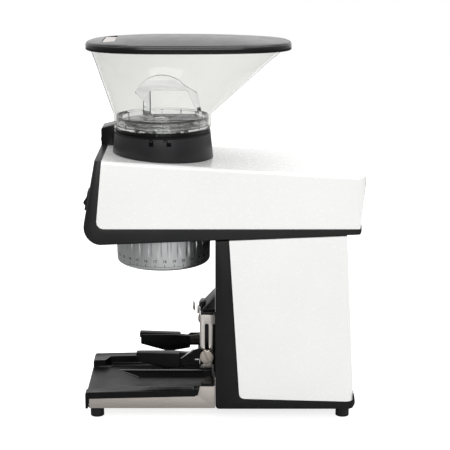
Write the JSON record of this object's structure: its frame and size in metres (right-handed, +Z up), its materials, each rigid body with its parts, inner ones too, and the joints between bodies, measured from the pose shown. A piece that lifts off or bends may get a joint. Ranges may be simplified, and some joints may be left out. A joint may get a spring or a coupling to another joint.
{
  "type": "electric coffee grinder",
  "caption": "On-demand electric coffee grinder: clear bean hopper with lid, head with grind ring over a drip tray, and a height-adjustable fork that holds a portafilter.",
  "frame": {"origin": "centre of the machine's footprint box, on the table under the feet", "axes": "-X is the front, where the user stands, +Y is to the left of someone who looks along -X, and +Z is up"},
  "size_m": [0.312, 0.13, 0.4298],
  "materials": {
    "white_gloss": "gloss white powder coat on sheet metal",
    "black_satin": "satin black moulding",
    "black_gloss": "gloss black",
    "dark_grey": "satin dark grey moulding",
    "clear": "clear moulding",
    "steel": "brushed stainless sheet",
    "bright_steel": "bright steel",
    "ring_alu": "brushed aluminium",
    "cast_alu": "sand-blasted casting",
    "hard_steel": "ground tool steel",
    "acetal": "natural moulded gear plastic",
    "rubber": "matt rubber",
    "board": "green circuit board",
    "magnet": "dark sintered magnet"
  },
  "bodies": {
    "housing": {"head_cover": "white_gloss", "head_frame": "black_satin", "column_cover": "white_gloss", "column_frame": "black_satin", "foot_front_right": "rubber", "foot_front_left": "rubber", "foot_rear_right": "rubber", "foot_rear_left": "rubber", "switch_bezel": "black_satin", "control_pod": "black_gloss", "display_lens": "black_gloss", "hopper_collar": "dark_grey", "bean_throat": "black_satin", "gear_case": "cast_alu", "gear_case_lid": "cast_alu", "burr_bearing": "bright_steel", "idler_axle": "hard_steel", "ring_retainer": "acetal", "motor_bell": "cast_alu", "motor_can": "steel", "motor_magnet_right": "magnet", "motor_magnet_left": "magnet", "control_board": "board", "power_inlet": "black_satin", "tray_base": "steel", "fork_bracket": "steel", "bracket_block": "black_satin", "bracket_hood": "black_satin", "hood_pin": "black_gloss", "rim_clip": "bright_steel", "bracket_bolt": "bright_steel"},
    "lock_ring_body": {"lock_ring": "dark_grey"},
    "hopper_body": {"hopper": "clear"},
    "lid_body": {"hopper_lid": "black_gloss", "lid_inlay": "bright_steel"},
    "shutter_body": {"feed_shutter": "clear"},
    "grind_ring_body": {"grind_ring": "ring_alu"},
    "cone_body": {"cone_carrier": "cast_alu", "cone_burr": "hard_steel", "cone_nut": "bright_steel"},
    "burr_gear_body": {"burr_gear": "acetal", "ring_burr": "hard_steel"},
    "idler_body": {"idler_gear": "acetal"},
    "motor_shaft_body": {"motor_pinion": "hard_steel", "armature": "hard_steel"},
    "rocker_body": {"power_rocker": "black_gloss"},
    "fork_body": {"fork_carrier": "black_satin", "prong_right": "black_satin", "prong_left": "black_satin"},
    "screw_right_body": {"thumb_screw_right": "bright_steel"},
    "screw_left_body": {"thumb_screw_left": "bright_steel"},
    "tray_body": {"drip_tray": "black_satin"},
    "key_1_body": {"pod_key_1": "black_satin"},
    "key_2_body": {"pod_key_2": "black_satin"},
    "key_3_body": {"pod_key_3": "black_satin"}
  },
  "joints": [
    {"name": "hopper_lock", "type": "hinge", "parent": "housing", "child": "lock_ring_body", "pos_m": [-0.06792, 0, 0.3268], "axis": [0, 0, 1], "range_deg": [0, 19]},
    {"name": "hopper_lift", "type": "slide", "parent": "housing", "child": "hopper_body", "axis": [0, 0, 1], "range_m": [0, 0.1]},
    {"name": "lid_lift", "type": "slide", "parent": "hopper_body", "child": "lid_body", "axis": [0, 0, 1], "range_m": [0, 0.06]},
    {"name": "shutter_turn", "type": "hinge", "parent": "hopper_body", "child": "shutter_body", "pos_m": [-0.06792, 0, 0.3335], "axis": [0, 0, 1], "range_deg": [0, 90]},
    {"name": "grind_adjust", "type": "hinge", "parent": "housing", "child": "grind_ring_body", "pos_m": [-0.06792, 0, 0.2], "axis": [0, 0, 1], "range_deg": [-150, 150]},
    {"name": "cone_height", "type": "slide", "parent": "housing", "child": "cone_body", "axis": [0, 0, 1], "range_m": [-0.00064, 0.00064]},
    {"name": "burr_spin", "type": "hinge", "parent": "housing", "child": "burr_gear_body", "pos_m": [-0.06792, 0, 0.25], "axis": [0, 0, 1], "continuous": true},
    {"name": "idler_spin", "type": "hinge", "parent": "housing", "child": "idler_body", "pos_m": [-0.00492, 0, 0.255], "axis": [0, 0, 1], "continuous": true},
    {"name": "motor_spin", "type": "hinge", "parent": "housing", "child": "motor_shaft_body", "pos_m": [0.02958, 0, 0.2], "axis": [0, 0, 1], "continuous": true},
    {"name": "rocker_tilt", "type": "hinge", "parent": "housing", "child": "rocker_body", "pos_m": [-0.14782, -0.04, 0.25332], "axis": [0, -1, 0], "range_deg": [0, 14]},
    {"name": "fork_height", "type": "slide", "parent": "housing", "child": "fork_body", "axis": [0, 0, 1], "range_m": [0, 0.034]},
    {"name": "screw_right_turn", "type": "hinge", "parent": "fork_body", "child": "screw_right_body", "pos_m": [-0.01822, -0.036, 0.0676], "axis": [0, 1, 0], "range_deg": [-180, 180]},
    {"name": "screw_left_turn", "type": "hinge", "parent": "fork_body", "child": "screw_left_body", "pos_m": [-0.01822, 0.036, 0.0676], "axis": [0, 1, 0], "range_deg": [-180, 180]},
    {"name": "tray_slide", "type": "slide", "parent": "housing", "child": "tray_body", "axis": [-1, 0, 0], "range_m": [0, 0.145]},
    {"name": "key_1_press", "type": "slide", "parent": "housing", "child": "key_1_body", "axis": [1, 0, 0], "range_m": [0, 0.0008], "stiffness_N_per_m": 1500, "springref_m": -0.0004},
    {"name": "key_2_press", "type": "slide", "parent": "housing", "child": "key_2_body", "axis": [1, 0, 0], "range_m": [0, 0.0008], "stiffness_N_per_m": 1500, "springref_m": -0.0004},
    {"name": "key_3_press", "type": "slide", "parent": "housing", "child": "key_3_body", "axis": [1, 0, 0], "range_m": [0, 0.0008], "stiffness_N_per_m": 1500, "springref_m": -0.0004}
  ],
  "couplings": [
    {"joint": "cone_height", "follows": "grind_adjust", "m_per_rad": 0.00023873},
    {"joint": "idler_spin", "follows": "burr_spin", "ratio": -1.4706},
    {"joint": "motor_spin", "follows": "burr_spin", "ratio": 4.1667}
  ]
}
